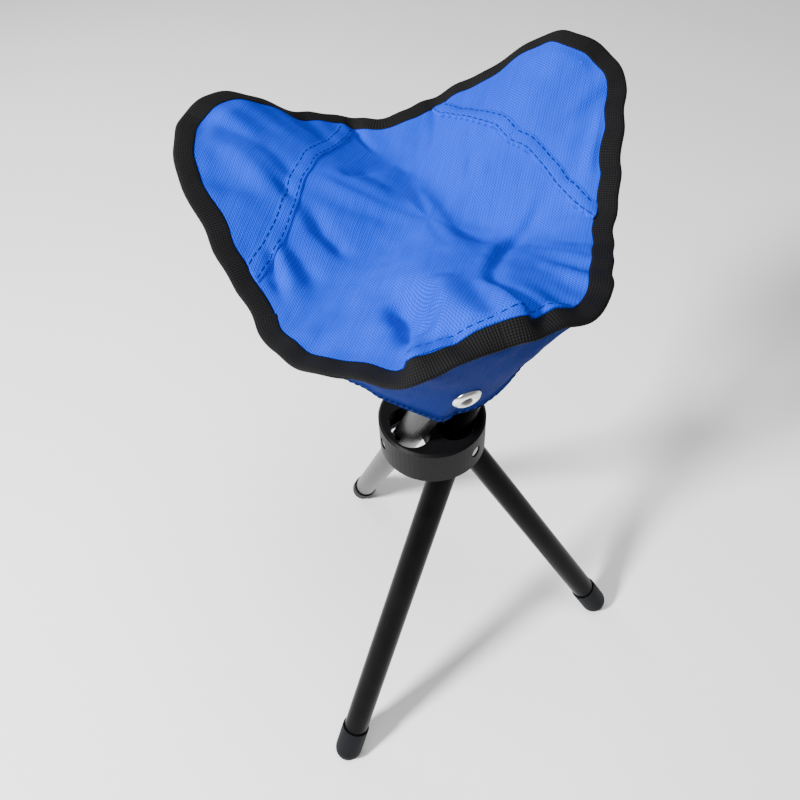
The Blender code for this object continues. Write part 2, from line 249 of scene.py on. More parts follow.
def crest(azimuth):
    """Where the open cloth ends and the binding begins."""
    edge, out, _ = binding_frame(azimuth)
    return edge - out * BINDING_WIDTH


CREST_STEPS = np.arange(0.0, 360.0, 0.5)
CREST = crest(CREST_STEPS)
CREST_AZIMUTH = np.degrees(np.unwrap(np.arctan2(CREST[:, 1], CREST[:, 0])))
CREST_RADIUS = np.hypot(CREST[:, 0], CREST[:, 1])


def crest_at(azimuth):
    """Radius and height of the open cloth's end, at azimuths in degrees."""
    start = CREST_AZIMUTH[0]
    x = np.mod(np.asarray(azimuth) - start, 360.0) + start
    radius = np.interp(x, CREST_AZIMUTH, CREST_RADIUS, period=360.0)
    height = np.interp(x, CREST_AZIMUTH, CREST[:, 2], period=360.0)
    return radius, height


def crest_wander(azimuth):
    """How far the open cloth's end stands above the even shape, at azimuths in degrees."""
    radius, height = crest_at(azimuth)
    return height - CENTRE[2] - even_slope(azimuth) * radius


# The same, smoothed over about 20 degrees of azimuth
SPREAD = np.exp(-((np.arange(-60.0, 60.5, 0.5) / 20.0) ** 2))
BROAD_WANDER = np.convolve(
    np.concatenate([crest_wander(CREST_STEPS)] * 3), SPREAD / SPREAD.sum(), mode="same"
)[len(CREST_STEPS) : 2 * len(CREST_STEPS)]


def azimuth_at_crest(azimuth):
    """The rim azimuth whose binding begins at a given azimuth of the open cloth's end."""
    x = np.mod(np.asarray(azimuth) - CREST_AZIMUTH[0], 360.0) + CREST_AZIMUTH[0]
    turned = np.concatenate((CREST_AZIMUTH - 360.0, CREST_AZIMUTH, CREST_AZIMUTH + 360.0))
    steps = np.concatenate((CREST_STEPS - 360.0, CREST_STEPS, CREST_STEPS + 360.0))
    return np.interp(x, turned, steps)


def near_path(x, y, path):
    """Distance from points to a broken line, above 0 on its left, and the share of it passed there."""
    best = np.full(x.shape, 1e9)
    share = np.zeros(x.shape)
    left = np.ones(x.shape)
    lengths = [math.dist(a, b) for a, b in zip(path, path[1:])]
    whole, before = sum(lengths), 0.0
    for (ax, ay), (bx, by), length in zip(path, path[1:], lengths):
        dx, dy = (bx - ax) / length, (by - ay) / length
        along = (x - ax) * dx + (y - ay) * dy
        kept = np.clip(along, 0, length)
        away = np.hypot(x - ax - kept * dx, y - ay - kept * dy)
        closer = away < best
        best = np.where(closer, away, best)
        left = np.where(closer, np.sign((x - ax) * -dy + (y - ay) * dx), left)
        share = np.where(closer, (before + kept) / whole, share)
        before += length
    return best * left, share


def to_fold_line(x, y):
    """Distance in plan to the nearest of the six lines where the seat folds, rounded off, in millimetres."""
    soft = 3.0
    radius = np.hypot(x, y)
    turn = np.mod(np.degrees(np.arctan2(y, x)) - CORNERS[0], 60.0)
    away = radius * np.sin(np.radians(np.minimum(turn, 60.0 - turn)))
    return np.hypot(away, soft) - soft


def relief(x, y):
    """How far the cloth stands above its even shape, in metres, at points in metres.

    It is held low beside the fold lines, so that the panels lie close when they fold.
    """
    px, py = x / MM, y / MM
    rise = np.zeros(px.shape)
    for width, height, step, *path in FOLDS:
        away, share = near_path(px, py, path)
        taper = smooth(share, 0, FOLD_FADE) * smooth(1 - share, 0, FOLD_FADE)
        profile = height * (0.2 + 0.8 * taper) + step * taper * away / width
        rise += FOLD_STRENGTH * profile * np.exp(-((away / width) ** 2))
    for cx, cy, width, height in LUMPS:
        rise += height * np.exp(-((np.hypot(px - cx, py - cy) / width) ** 2))
    grain = [
        sum(height * noise.noise((a / spread, b / spread, layer)) for height, spread, layer in GRAINS)
        for a, b in zip(px.ravel(), py.ravel())
    ]
    rise += np.array(grain).reshape(px.shape)
    most = 1.4 + 0.75 * to_fold_line(px, py)
    return rise / np.sqrt(1 + (rise / most) ** 2) * MM


def seat_height(x, y):
    """The height of the cloth's middle over a point in plan.

    A cone with a rounded tip rises to the even rim. The rim's wander fades in towards it, its broad part
    first, and the folds fade out under the binding.
    """
    tip, lobe_start = 0.012, 0.016
    radius = np.hypot(x, y)
    azimuth = np.degrees(np.arctan2(y, x))
    share = radius / crest_at(azimuth)[0]
    mean_slope = (RIM_HEIGHT[0] - CENTRE[2]) / RIM_RADIUS[0]
    lobes = (even_slope(azimuth) - mean_slope) * radius * (1 - np.exp(-((radius / lobe_start) ** 2)))
    cone = CENTRE[2] + lobes + mean_slope * np.sqrt(radius**2 + tip**2)
    broad = np.interp(azimuth, CREST_STEPS, BROAD_WANDER, period=360.0)
    fine = crest_wander(azimuth) - broad
    wander = broad * smooth(share, 0.3, 1.0) + fine * smooth(share, 0.62, 1.0)
    return cone + wander + relief(x, y) * (1 - smooth(share, 0.93, 1.0))


def seat_surface(x, y):
    """Points of the seat over a plan, and the normals there."""
    step = 0.0004
    height = seat_height(x, y)
    slope_x = (seat_height(x + step, y) - seat_height(x - step, y)) / (2 * step)
    slope_y = (seat_height(x, y + step) - seat_height(x, y - step)) / (2 * step)
    normal = unit(np.stack((-slope_x, -slope_y, np.ones_like(x)), axis=-1))
    return np.stack((x, y, height), axis=-1), normal


# Meshes


def link(name, verts, faces, uvs, material):
    """A smooth mesh object with one UV map, in metres on the cloth."""
    mesh = bpy.data.meshes.new(name)
    mesh.from_pydata([tuple(v) for v in verts], [], faces)
    mesh.polygons.foreach_set("use_smooth", [True] * len(mesh.polygons))
    layer = mesh.uv_layers.new(name="cloth")
    loops = np.empty(len(mesh.loops), int)
    mesh.loops.foreach_get("vertex_index", loops)
    layer.data.foreach_set("uv", np.asarray(uvs, np.float32)[loops].ravel())
    mesh.materials.append(material)
    mesh.update()
    ob = bpy.data.objects.new(name, mesh)
    bpy.context.scene.collection.objects.link(ob)
    return ob


def quads(index):
    """Faces of a grid of vertex numbers, with triangles where two of a face's corners are one vertex."""
    corners = np.stack((index[:-1, :-1], index[1:, :-1], index[1:, 1:], index[:-1, 1:]), axis=-1)
    faces = [tuple(dict.fromkeys(face)) for face in corners.reshape(-1, 4).tolist()]
    return [face for face in faces if len(face) > 2]


def cloth_sheet(name, grid, normals, thickness, uvs, material):
    """A sheet on a grid of points, with thickness, whose shading follows the given normals."""
    rows, columns = grid.shape[:2]
    count = rows * columns
    index = np.arange(count).reshape(rows, columns)
    if np.ptp(grid[0], axis=0).max() < 1e-7:
        index[0, :] = 0
    middle = rows // 2, columns // 2
    down = grid[middle[0] + 1, middle[1]] - grid[middle]
    over = grid[middle[0], middle[1] + 1] - grid[middle]
    if np.dot(np.cross(down, over), normals[middle]) < 0:
        index = index[:, ::-1]
    border = np.concatenate((index[:, 0], index[-1, 1:], index[-2::-1, -1], index[0, -2:0:-1]))
    border = np.array(list(dict.fromkeys(border.tolist())))
    following = np.roll(border, -1)
    faces = quads(index) + [tuple(n + count for n in face[::-1]) for face in quads(index)]
    faces += [(int(b), int(a), int(a) + count, int(b) + count) for a, b in zip(border, following)]
    half = normals * thickness / 2
    verts = np.concatenate(((grid + half).reshape(-1, 3), (grid - half).reshape(-1, 3)))
    flat = np.asarray(uvs).reshape(-1, 2)
    shading = np.concatenate((normals.reshape(-1, 3), -normals.reshape(-1, 3)))
    used = sorted({n for face in faces for n in face})
    number = dict(zip(used, range(len(used))))
    faces = [tuple(number[n] for n in face) for face in faces]
    ob = link(name, verts[used], faces, np.concatenate((flat, flat))[used], material)
    ob.data.normals_split_custom_set_from_vertices([tuple(n) for n in shading[used]])
    return ob


def tube_sheet(name, rings, uvs, material):
    """A closed skin through rings of points, capped at both ends."""
    count, around_count = rings.shape[:2]
    index = np.arange(count * around_count).reshape(count, around_count)
    closed = np.concatenate((index, index[:, :1]), axis=1)
    faces = quads(closed)
    faces += [tuple(index[0].tolist()), tuple(index[-1, ::-1].tolist())]
    ob = link(name, rings.reshape(-1, 3), faces, np.asarray(uvs).reshape(-1, 2), material)
    return outward(ob)


def outward(ob):
    """Turn a closed mesh right side out."""
    verts = np.array([v.co for v in ob.data.vertices])
    volume = 0.0
    for face in ob.data.polygons:
        corner = verts[list(face.vertices)]
        for a, b in zip(corner[1:], corner[2:]):
            volume += np.dot(corner[0], np.cross(a, b))
    if volume < 0:
        ob.data.flip_normals()
    return ob


def stitches(name, paths, material):
    """Rows of thread: each path is (points, normals), and each stitch is a low rounded dash."""
    length, width, height = STITCH
    sides, rings = len(STITCH_ANGLES), len(STITCH_STEPS)
    verts, faces, uvs = [], [], []
    for points, normals in paths:
        steps = np.linalg.norm(np.diff(points, axis=0), axis=1)
        run = np.concatenate(([0.0], np.cumsum(steps)))
        start = STITCH_PITCH * 0.3
        while start + length < run[-1]:
            at = start + length * np.array(STITCH_STEPS)
            spine = np.stack([np.interp(at, run, points[:, k]) for k in range(3)], axis=-1)
            up = unit(np.stack([np.interp(at, run, normals[:, k]) for k in range(3)], axis=-1))
            ahead = unit(np.gradient(spine, axis=0))
            side = unit(np.cross(up, ahead))
            base = len(verts)
            for k, swell in enumerate(STITCH_SWELL):
                for angle in np.radians(STITCH_ANGLES):
                    flattened = 0.6 if angle > math.pi else 1.0
                    lift = math.sin(angle) * flattened * height * swell - height * 0.25
                    out = math.cos(angle) * width / 2 * swell
                    verts.append(spine[k] + side[k] * out + up[k] * lift)
                    uvs.append((at[k], out))
            for k in range(rings - 1):
                for m in range(sides):
                    n = (m + 1) % sides
                    a, b = base + sides * k, base + sides * (k + 1)
                    faces.append((a + m, a + n, b + n, b + m))
            faces.append(tuple(base + m for m in range(sides))[::-1])
            faces.append(tuple(base + sides * (rings - 1) + m for m in range(sides)))
            start += STITCH_PITCH
    return outward(link(name, verts, faces, uvs, material))


# Materials


def node_material(name, roughness, metallic=0.0, specular=0.5):
    made = bpy.data.materials.new(name)
    made.use_nodes = True
    shader = made.node_tree.nodes["Principled BSDF"]
    shader.inputs["Roughness"].default_value = roughness
    shader.inputs["Metallic"].default_value = metallic
    shader.inputs["Specular IOR Level"].default_value = specular
    return made, made.node_tree, shader


def put(tree, kind, **inputs):
    """Add a node, and set or link its inputs by name."""
    node = tree.nodes.new(kind)
    for key, value in inputs.items():
        fill(tree, node.inputs[key], value)
    return node


def fill(tree, socket, value):
    if isinstance(value, bpy.types.NodeSocket):
        tree.links.new(value, socket)
    else:
        socket.default_value = value


def maths(tree, operation, a, b=0.0):
    """A number worked out by a Math node, whose inputs are numbers or sockets."""
    node = tree.nodes.new("ShaderNodeMath")
    node.operation = operation
    fill(tree, node.inputs[0], a)
    fill(tree, node.inputs[1], b)
    return node.outputs[0]


def speckle(tree, vector, scale, detail=2.0, roughness=0.5):
    node = put(tree, "ShaderNodeTexNoise", Vector=vector, Scale=scale, Detail=detail, Roughness=roughness)
    return node.outputs["Fac"]


def ramp(tree, factor, *stops):
    """A colour ramp of (position, colour) stops."""
    node = tree.nodes.new("ShaderNodeValToRGB")
    fill(tree, node.inputs[0], factor)
    elements = node.color_ramp.elements
    while len(elements) < len(stops):
        elements.new(0.5)
    for element, (position, colour) in zip(elements, stops):
        element.position = position
        element.color = (*colour, 1.0)
    return node.outputs["Color"]


def mixed(tree, a, b, kind):
    """Two colours added or multiplied."""
    node = tree.nodes.new("ShaderNodeMix")
    node.data_type = "RGBA"
    node.blend_type = kind
    node.inputs[0].default_value = 1.0
    fill(tree, node.inputs[6], a)
    fill(tree, node.inputs[7], b)
    return node.outputs[2]


def bump(tree, shader, height, strength, distance):
    node = put(tree, "ShaderNodeBump", Strength=strength, Distance=distance, Height=height)
    tree.links.new(node.outputs[0], shader.inputs["Normal"])


def scaled(tree, factor, low, high):
    """A 0 to 1 factor, stretched to run from low to high."""
    return maths(tree, "ADD", maths(tree, "MULTIPLY", factor, high - low), low)


def woven(name, dark, light, pitch, turn, roughness=0.82):
    """Oxford cloth: yarns over and under at the given pitch, uneven in colour, with specks of lint."""
    made, tree, shader = node_material(name, roughness, specular=0.06)
    uv = tree.nodes.new("ShaderNodeUVMap")
    uv.uv_map = "cloth"
    turned = put(tree, "ShaderNodeMapping", Vector=uv.outputs[0])
    turned.inputs["Rotation"].default_value = (0, 0, turn)
    apart = put(tree, "ShaderNodeSeparateXYZ", Vector=turned.outputs[0])
    wobble = speckle(tree, turned.outputs[0], 140.0, 2.0)
    shift = scaled(tree, wobble, -1.1, 1.1)
    warp = maths(tree, "ADD", maths(tree, "MULTIPLY", apart.outputs[0], 2 * math.pi / pitch), shift)
    weft = maths(tree, "ADD", maths(tree, "MULTIPLY", apart.outputs[1], 2 * math.pi / pitch), shift)
    sin_warp = maths(tree, "SINE", warp)
    sin_weft = maths(tree, "SINE", weft)
    ribs = maths(tree, "ABSOLUTE", maths(tree, "SINE", maths(tree, "MULTIPLY", warp, 0.5)))
    cells = maths(tree, "MULTIPLY", sin_warp, sin_weft)
    twill = maths(tree, "SINE", maths(tree, "ADD", warp, weft))
    weave = maths(tree, "ADD", maths(tree, "MULTIPLY", cells, 0.3), maths(tree, "MULTIPLY", twill, 0.2))
    weave = maths(tree, "ADD", maths(tree, "ADD", weave, maths(tree, "MULTIPLY", ribs, 0.3)), 0.35)
    yarn = speckle(tree, turned.outputs[0], 2400.0, 1.0)
    streak = put(tree, "ShaderNodeMapping", Vector=turned.outputs[0])
    streak.inputs["Scale"].default_value = (1.0, 0.06, 1.0)
    slub = speckle(tree, streak.outputs[0], 900.0, 2.0)
    cloud = speckle(tree, uv.outputs[0], 26.0, 3.0)
    tone = maths(tree, "ADD", maths(tree, "MULTIPLY", weave, 0.7), maths(tree, "MULTIPLY", slub, 0.3))
    tone = maths(tree, "ADD", tone, maths(tree, "MULTIPLY", cloud, 0.28))
    colour = ramp(tree, tone, (0.42, dark), (0.92, light))
    lint = ramp(tree, speckle(tree, uv.outputs[0], 700.0, 1.0), (0.76, (0, 0, 0)), (0.84, (0.05, 0.06, 0.07)))
    tree.links.new(mixed(tree, colour, lint, "ADD"), shader.inputs["Base Color"])
    height = maths(tree, "ADD", weave, maths(tree, "MULTIPLY", yarn, 0.35))
    tree.links.new(scaled(tree, slub, roughness - 0.1, roughness + 0.1), shader.inputs["Roughness"])
    bump(tree, shader, height, 0.7, 0.00022)
    return made


def webbing(name):
    """Black polyester binding: ribs across it, split into small beads, with dusty high spots."""
    made, tree, shader = node_material(name, 0.78, specular=0.08)
    uv = tree.nodes.new("ShaderNodeUVMap")
    uv.uv_map = "cloth"
    apart = put(tree, "ShaderNodeSeparateXYZ", Vector=uv.outputs[0])
    wander = scaled(tree, speckle(tree, uv.outputs[0], 260.0, 2.0), -2.2, 2.2)
    along = maths(tree, "ADD", maths(tree, "MULTIPLY", apart.outputs[0], 2 * math.pi / RIB_PITCH), wander)
    across = maths(tree, "MULTIPLY", apart.outputs[1], 2 * math.pi / RIB_PITCH)
    row = maths(tree, "ABSOLUTE", maths(tree, "SINE", maths(tree, "MULTIPLY", across, 0.5)))
    leaning = maths(tree, "COSINE", maths(tree, "ADD", along, maths(tree, "MULTIPLY", row, 1.3)))
    beads = maths(tree, "ADD", maths(tree, "MULTIPLY", leaning, 0.35), maths(tree, "MULTIPLY", row, 0.5))
    fibre = speckle(tree, uv.outputs[0], 3200.0, 2.0)
    dust = speckle(tree, uv.outputs[0], 60.0, 3.0)
    tone = maths(tree, "ADD", beads, maths(tree, "MULTIPLY", fibre, 0.4))
    tone = maths(tree, "ADD", tone, maths(tree, "MULTIPLY", dust, 0.35))
    dark, middle, light = (0.0008, 0.0008, 0.0009), (0.003, 0.003, 0.0033), (0.008, 0.008, 0.0085)
    colour = ramp(tree, tone, (0.25, dark), (0.7, middle), (1.0, light))
    tree.links.new(colour, shader.inputs["Base Color"])
    tree.links.new(scaled(tree, dust, 0.6, 0.85), shader.inputs["Roughness"])
    bump(tree, shader, maths(tree, "ADD", beads, maths(tree, "MULTIPLY", fibre, 0.3)), 0.6, 0.0003)
    return made


def moulded(name, dark, light, roughness, grain, depth, scuffs, specular=0.5):
    """Moulded plastic or rubber: a fine grain, cloudy tone, and paler scuffs."""
    made, tree, shader = node_material(name, roughness, specular=specular)
    place = tree.nodes.new("ShaderNodeTexCoord").outputs["Object"]
    fine = speckle(tree, place, grain, 3.0, 0.6)
    cloud = speckle(tree, place, 90.0, 3.0)
    drawn = put(tree, "ShaderNodeMapping", Vector=place)
    drawn.inputs["Scale"].default_value = (1.0, 1.0, 0.12)
    scratch = speckle(tree, drawn.outputs[0], 1500.0, 4.0, 0.7)
    worn = ramp(tree, scratch, (0.6, (0, 0, 0)), (0.78, (scuffs, scuffs, scuffs)))
    tone = maths(tree, "MULTIPLY", maths(tree, "ADD", fine, cloud), 0.5)
    colour = ramp(tree, tone, (0.3, dark), (0.7, light))
    tree.links.new(mixed(tree, colour, worn, "ADD"), shader.inputs["Base Color"])
    tree.links.new(scaled(tree, cloud, roughness - 0.08, roughness + 0.1), shader.inputs["Roughness"])
    bump(tree, shader, fine, 0.4, depth)
    return made


def painted(name):
    """Gloss black powder coat on the tubes: orange peel, cloudy tone, and faint rubs along the tube."""
    made, tree, shader = node_material(name, 0.2, specular=0.04)
    place = tree.nodes.new("ShaderNodeTexCoord").outputs["Object"]
    peel = speckle(tree, place, 420.0, 2.0)
    cloud = speckle(tree, place, 45.0, 3.0)
    rub = put(tree, "ShaderNodeMapping", Vector=place)
    rub.inputs["Scale"].default_value = (1.0, 1.0, 0.05)
    streaks = speckle(tree, rub.outputs[0], 1100.0, 3.0, 0.65)
    colour = ramp(tree, cloud, (0.3, (0.0008, 0.0008, 0.0009)), (0.75, (0.003, 0.003, 0.0032)))
    worn = ramp(tree, streaks, (0.62, (0, 0, 0)), (0.8, (0.006, 0.006, 0.006)))
    tree.links.new(mixed(tree, colour, worn, "ADD"), shader.inputs["Base Color"])
    tree.links.new(scaled(tree, streaks, 0.16, 0.32), shader.inputs["Roughness"])
    bump(tree, shader, peel, 0.12, 0.0001)
    return made


def metal(name, dark, light, roughness, hollow=0.0):
    """Plated steel, with painted shade darkening its middle, out to the given radius, where the part is
    hollow.
    """
    made, tree, shader = node_material(name, roughness, metallic=1.0)
    place = tree.nodes.new("ShaderNodeTexCoord").outputs["Object"]
    brushed = speckle(tree, place, 2600.0, 3.0, 0.6)
    cloud = speckle(tree, place, 380.0, 2.0)
    tone = ramp(tree, cloud, (0.3, dark), (0.7, light))
    if hollow:
        uv = tree.nodes.new("ShaderNodeUVMap")
        uv.uv_map = "cloth"
        radius = put(tree, "ShaderNodeSeparateXYZ", Vector=uv.outputs[0]).outputs[0]
        rim = maths(tree, "MULTIPLY", radius, 1 / (2 * hollow))
        # Painted shade: the middle of a hollow part is darkened, as if in the shade of its hole
        painted_hollow_shade = ramp(tree, rim, (0.4, (0.06, 0.06, 0.06)), (0.56, (1, 1, 1)))
        tone = mixed(tree, tone, painted_hollow_shade, "MULTIPLY")
    tree.links.new(tone, shader.inputs["Base Color"])
    tree.links.new(scaled(tree, brushed, roughness - 0.1, roughness + 0.15), shader.inputs["Roughness"])
    bump(tree, shader, brushed, 0.15, 0.00004)
    return made


cloth_blue = woven("oxford_cloth", (0.0, 0.022, 0.33), (0.0, 0.044, 0.63), 0.0011, turn=0.5)
# The pockets use the seat's cloth with painted shade: a darker copy of its blue, standing in for the shade
# under the seat
pocket_blue_painted_shade = woven("pocket_cloth_painted_shade", (0.0, 0.007, 0.085), (0.0, 0.014, 0.15), 0.0011, turn=0.1)
thread_blue = woven("stitch_thread", (0.0, 0.007, 0.07), (0.0, 0.014, 0.14), 0.0005, turn=0.8)
binding_black = webbing("binding_webbing")
hub_black = moulded(
    "hub_moulding", (0.002, 0.002, 0.0022), (0.006, 0.006, 0.0065),
    roughness=0.45, grain=1400.0, depth=0.00006, scuffs=0.003, specular=0.07,
)
foot_black = moulded(
    "foot_rubber_finish", (0.003, 0.0032, 0.004), (0.008, 0.0085, 0.0105),
    roughness=0.58, grain=900.0, depth=0.00009, scuffs=0.003, specular=0.06,
)
plug_black = moulded(
    "plug_moulding", (0.012, 0.012, 0.012), (0.022, 0.022, 0.022),
    roughness=0.5, grain=1100.0, depth=0.00006, scuffs=0.015,
)
tube_black = painted("tube_powder_coat")
pin_grey = metal("pin_plating", (0.30, 0.30, 0.31), (0.48, 0.48, 0.49), 0.34)
# The rivet's hollow middle gets painted shade
rivet_bright = metal("rivet_plating", (0.62, 0.61, 0.60), (0.82, 0.82, 0.80), 0.2, hollow=RIVET_HOLLOW)


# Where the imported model's joints are

joints = {joint["name"]: joint for joint in frame["joints"]}
UP = np.array((0.0, 0.0, 1.0))


def side_name(side):
    return "left" if side > 0 else "right"


def leg_axes(n):
    """A leg's pivot, and its frame: pin axis, outer side, and the way up along the tube."""
    joint = joints[f"leg_{n}_fold"]
    pin = unit(np.array(joint["axis"], float))
    along = np.cross(UP, pin) * math.sin(SPLAY) + UP * math.cos(SPLAY)
    return np.array(joint["pos_m"], float), pin, np.cross(along, pin), along


def join_cloth(ob):
    """Bake a piece's transform into its mesh."""
    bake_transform(ob)
    return ob


# The seat, sixth by sixth


def seat_piece(n, side):
    """A sixth of the seat, from its middle to three rows tucked into the binding."""
    word = side_name(side)
    psi = side * np.linspace(0, 60.0, ACROSS + 1)
    share = np.linspace(0, 1.0, ALONG + 1) ** 0.9
    azimuth = CORNERS[n - 1] + psi
    radius, _ = crest_at(azimuth)
    reach = share[:, None] * radius[None, :]
    angle = np.radians(azimuth)[None, :]
    x, y = reach * np.cos(angle), reach * np.sin(angle)
    points, normals = seat_surface(x, y)
    edge, out, over = binding_frame(azimuth_at_crest(azimuth))
    tucked = [edge - out * (BINDING_WIDTH - depth) for depth in (0.0012, 0.003, 0.005)]
    points = np.concatenate((points, np.array(tucked)))
    normals = np.concatenate((normals, np.repeat(over[None], 3, axis=0)))
    uvs = points[..., :2]
    ob = cloth_sheet(f"seat_cloth_{n}_{word}", points, normals, CLOTH, uvs, cloth_blue)
    join_cloth(ob)
    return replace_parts(ob, f"seat_panel_{n}_{word}")


def binding_piece(n, side):
    """A sixth of the binding: its section carried round the rim, a little uneven in width and thickness."""
    word = side_name(side)
    azimuth = CORNERS[n - 1] + side * np.linspace(0, 60.0, 361)
    edge, out, over = binding_frame(azimuth)
    run = np.concatenate(([0.0], np.cumsum(np.linalg.norm(np.diff(edge, axis=0), axis=1))))
    upper = np.array(BINDING_SECTION)
    lower = (upper * (1, -1))[-1:0:-1]
    section = np.concatenate((upper, lower)) * MM
    width = 1 + 0.04 * np.sin(run / 0.0105 + n) + 0.02 * np.sin(run / 0.0041)
    puff = 1 + 0.12 * np.sin(run / 0.0083 + 2 * n) + 0.06 * np.sin(run / 0.0029 + 1)
    rib = RIB_DEPTH * (np.abs(np.cos(math.pi * run / RIB_PITCH)) - 0.5)
    inward = section[None, :, 0] * np.where(section[None, :, 0] > 0.003, width[:, None], 1.0)
    lift = section[None, :, 1] * puff[:, None] + np.sign(section[None, :, 1]) * rib[:, None]
    rings = edge[:, None, :] - out[:, None, :] * inward[..., None] + over[:, None, :] * lift[..., None]
    around_section = np.concatenate(([0.0], np.cumsum(np.linalg.norm(np.diff(section, axis=0), axis=1))))
    uvs = np.stack(np.broadcast_arrays(run[:, None], around_section[None, :]), axis=-1)
    ob = tube_sheet(f"binding_{n}_{word}", rings, uvs, binding_black)
    join_cloth(ob)
    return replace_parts(ob, f"rim_tape_{n}_{word}")


def hem_line(n, side, outward_by, tucked=False):
    """A line across one half of a corner, parallel to the hem's edge, from its middle to the rim, in plan.

    A tucked line runs on along the binding as far as the hem's edge does.
    """
    distance, askew = HEMS[n - 1]
    angle = math.radians(CORNERS[n - 1])
    corner = np.array((math.cos(angle), math.sin(angle)))
    sideways = np.array((-math.sin(angle), math.cos(angle)))
    lean = math.tan(math.radians(askew))
    t = np.linspace(0, 0.075, 301)
    waver, wave_length = 0.0015, 0.011
    sag = waver * np.sin(t / wave_length + n) * smooth(t, 0, 0.01)
    away = distance * MM + lean * side * t + sag
    base = corner[None, :] * away[:, None] + sideways[None, :] * (side * t)[:, None]
    plan = base + corner[None, :] * outward_by * MM
    limit = crest_at(np.degrees(np.arctan2(plan[:, 1], plan[:, 0])))[0] + 0.0005
    over = np.hypot(plan[:, 0], plan[:, 1]) / limit
    if not tucked:
        return plan[: max(int(np.argmax(over > 1)), 2)]
    end = crest_at(np.degrees(np.arctan2(base[:, 1], base[:, 0])))[0]
    return (plan / np.maximum(over, 1)[:, None])[: int(np.argmax(np.hypot(base[:, 0], base[:, 1]) > end))]


def hem_piece(n, side):
    """Half of the lapped hem across a corner."""
    word = side_name(side)
    lines = [hem_line(n, side, out, tucked=True) for out, _ in HEM_SECTION]
    rows = []
    for line, (_, height) in zip(lines, HEM_SECTION):
        pick = np.linspace(0, 1, HEM_SAMPLES) * (len(line) - 1)
        x = np.interp(pick, np.arange(len(line)), line[:, 0])
        y = np.interp(pick, np.arange(len(line)), line[:, 1])
        points, normals = seat_surface(x, y)
        rise = height * HEM_BOLDNESS[n - 1] if height > 0 else height
        rows.append(points + normals * (CLOTH / 2 + rise * MM))
    top = np.stack(rows, axis=1)
    floor = [row - UP * 0.0006 for row in (top[:, -1], top[:, 0])]
    rings = np.concatenate((top, np.stack(floor, axis=1)), axis=1)
    ob = tube_sheet(f"corner_hem_{n}_{word}", rings, rings[..., :2], cloth_blue)
    return join_cloth(ob)


def hem_stitches(n, side):
    word = side_name(side)
    paths = []
    for out in HEM_ROWS:
        line = hem_line(n, side, out)
        points, normals = seat_surface(line[:, 0], line[:, 1])
        height = np.interp(out, *np.array(HEM_SECTION).T) * HEM_BOLDNESS[n - 1] * MM
        paths.append((points + normals * (CLOTH / 2 + height), normals))
    ob = stitches(f"hem_stitches_{n}_{word}", paths, thread_blue)
    return join_cloth(ob)


# Corner pockets


def catmull(points, samples):
    """A smooth line through control points, evenly spaced along its length."""
    ends = np.concatenate((2 * points[:1] - points[1:2], points, 2 * points[-1:] - points[-2:-1]))
    fine = []
    for k in range(1, len(ends) - 2):
        t = np.linspace(0, 1, 12, endpoint=False)[:, None]
        p0, p1, p2, p3 = ends[k - 1 : k + 3]
        square, cube = 2 * p0 - 5 * p1 + 4 * p2 - p3, 3 * (p1 - p2) + p3 - p0
        fine.append(p1 + 0.5 * t * (p2 - p0 + t * (square + t * cube)))
    fine = np.concatenate((*fine, points[-1:]))
    run = np.concatenate(([0.0], np.cumsum(np.linalg.norm(np.diff(fine, axis=0), axis=1))))
    at = np.linspace(0, run[-1], samples)
    return np.stack([np.interp(at, run, fine[:, k]) for k in range(3)], axis=-1)


def pocket_rim(azimuth):
    """Where a pocket is sewn in under the binding, at one azimuth."""
    edge, out, over = (value[0] for value in binding_frame([azimuth]))
    return edge - out * BINDING_WIDTH * 0.6 - over * 0.0013


def pocket_grid(n, side, rows=64, columns=44):
    """A pocket's half: rows from the tube's outer side across to the rim, the first at the corner's rim."""
    pivot, pin, outer, along = leg_axes(n)
    top = pocket_rim(CORNERS[n - 1])
    from_top = 0.12
    grid = []
    for b in np.linspace(0, 1, rows) ** 0.85:
        rim = pocket_rim(CORNERS[n - 1] + side * POCKET_RIM_ANGLE * b)
        level = POCKET_TOP + (POCKET_POINT - POCKET_TOP) * (b - from_top) / (1 - from_top)
        reach = rim - pivot
        sideways, outward_by = -side * np.dot(reach, pin), np.dot(reach, outer)
        rim_level = np.dot(reach, along)
        distance = math.hypot(sideways, outward_by)
        turn = math.atan2(sideways, outward_by) - math.acos(min(POCKET_RADIUS / distance, 1.0))
        turn = max(turn, 0.05)
        straight = math.sqrt(max(distance**2 - POCKET_RADIUS**2, 1e-8))
        wrapped = POCKET_RADIUS * turn
        controls = []
        for share in (0.0, 0.33, 0.67, 1.0):
            swing = turn * share
            height = level + (rim_level - level) * POCKET_RADIUS * swing / (wrapped + straight)
            place = pin * (-side * math.sin(swing)) + outer * math.cos(swing)
            on_leg = pivot + along * height + place * POCKET_RADIUS
            loose = top + (rim - top) * share * wrapped / (wrapped + straight)
            controls.append(loose + (on_leg - loose) * smooth(b, 0.0, from_top))
        last = controls[-1]
        loose = FLARES[n - 1][0 if side > 0 else 1] * b**1.5
        for share, full in ((0.2, 0.75), (0.4, 1.0), (0.6, 0.6), (0.8, 0.2)):
            sag = outer * 0.0080 * loose - along * 0.0150 * loose * b
            controls.append(last + (rim - last) * share + sag * full)
        controls.append(rim)
        grid.append(catmull(np.array(controls), columns))
    return np.array(grid)


def grid_normals(grid, toward):
    """Smooth normals of a grid, on the side that faces away from a point."""
    down = np.gradient(grid, axis=0)
    over = np.gradient(grid, axis=1)
    normals = np.cross(down, over)
    size = np.linalg.norm(normals, axis=-1, keepdims=True)
    normals = np.where(size > 1e-12, normals / np.maximum(size, 1e-12), 0)
    normals[0] = normals[1]
    middle = grid.shape[0] // 2, grid.shape[1] // 2
    if np.dot(normals[middle], grid[middle] - toward) < 0:
        normals = -normals
    return normals


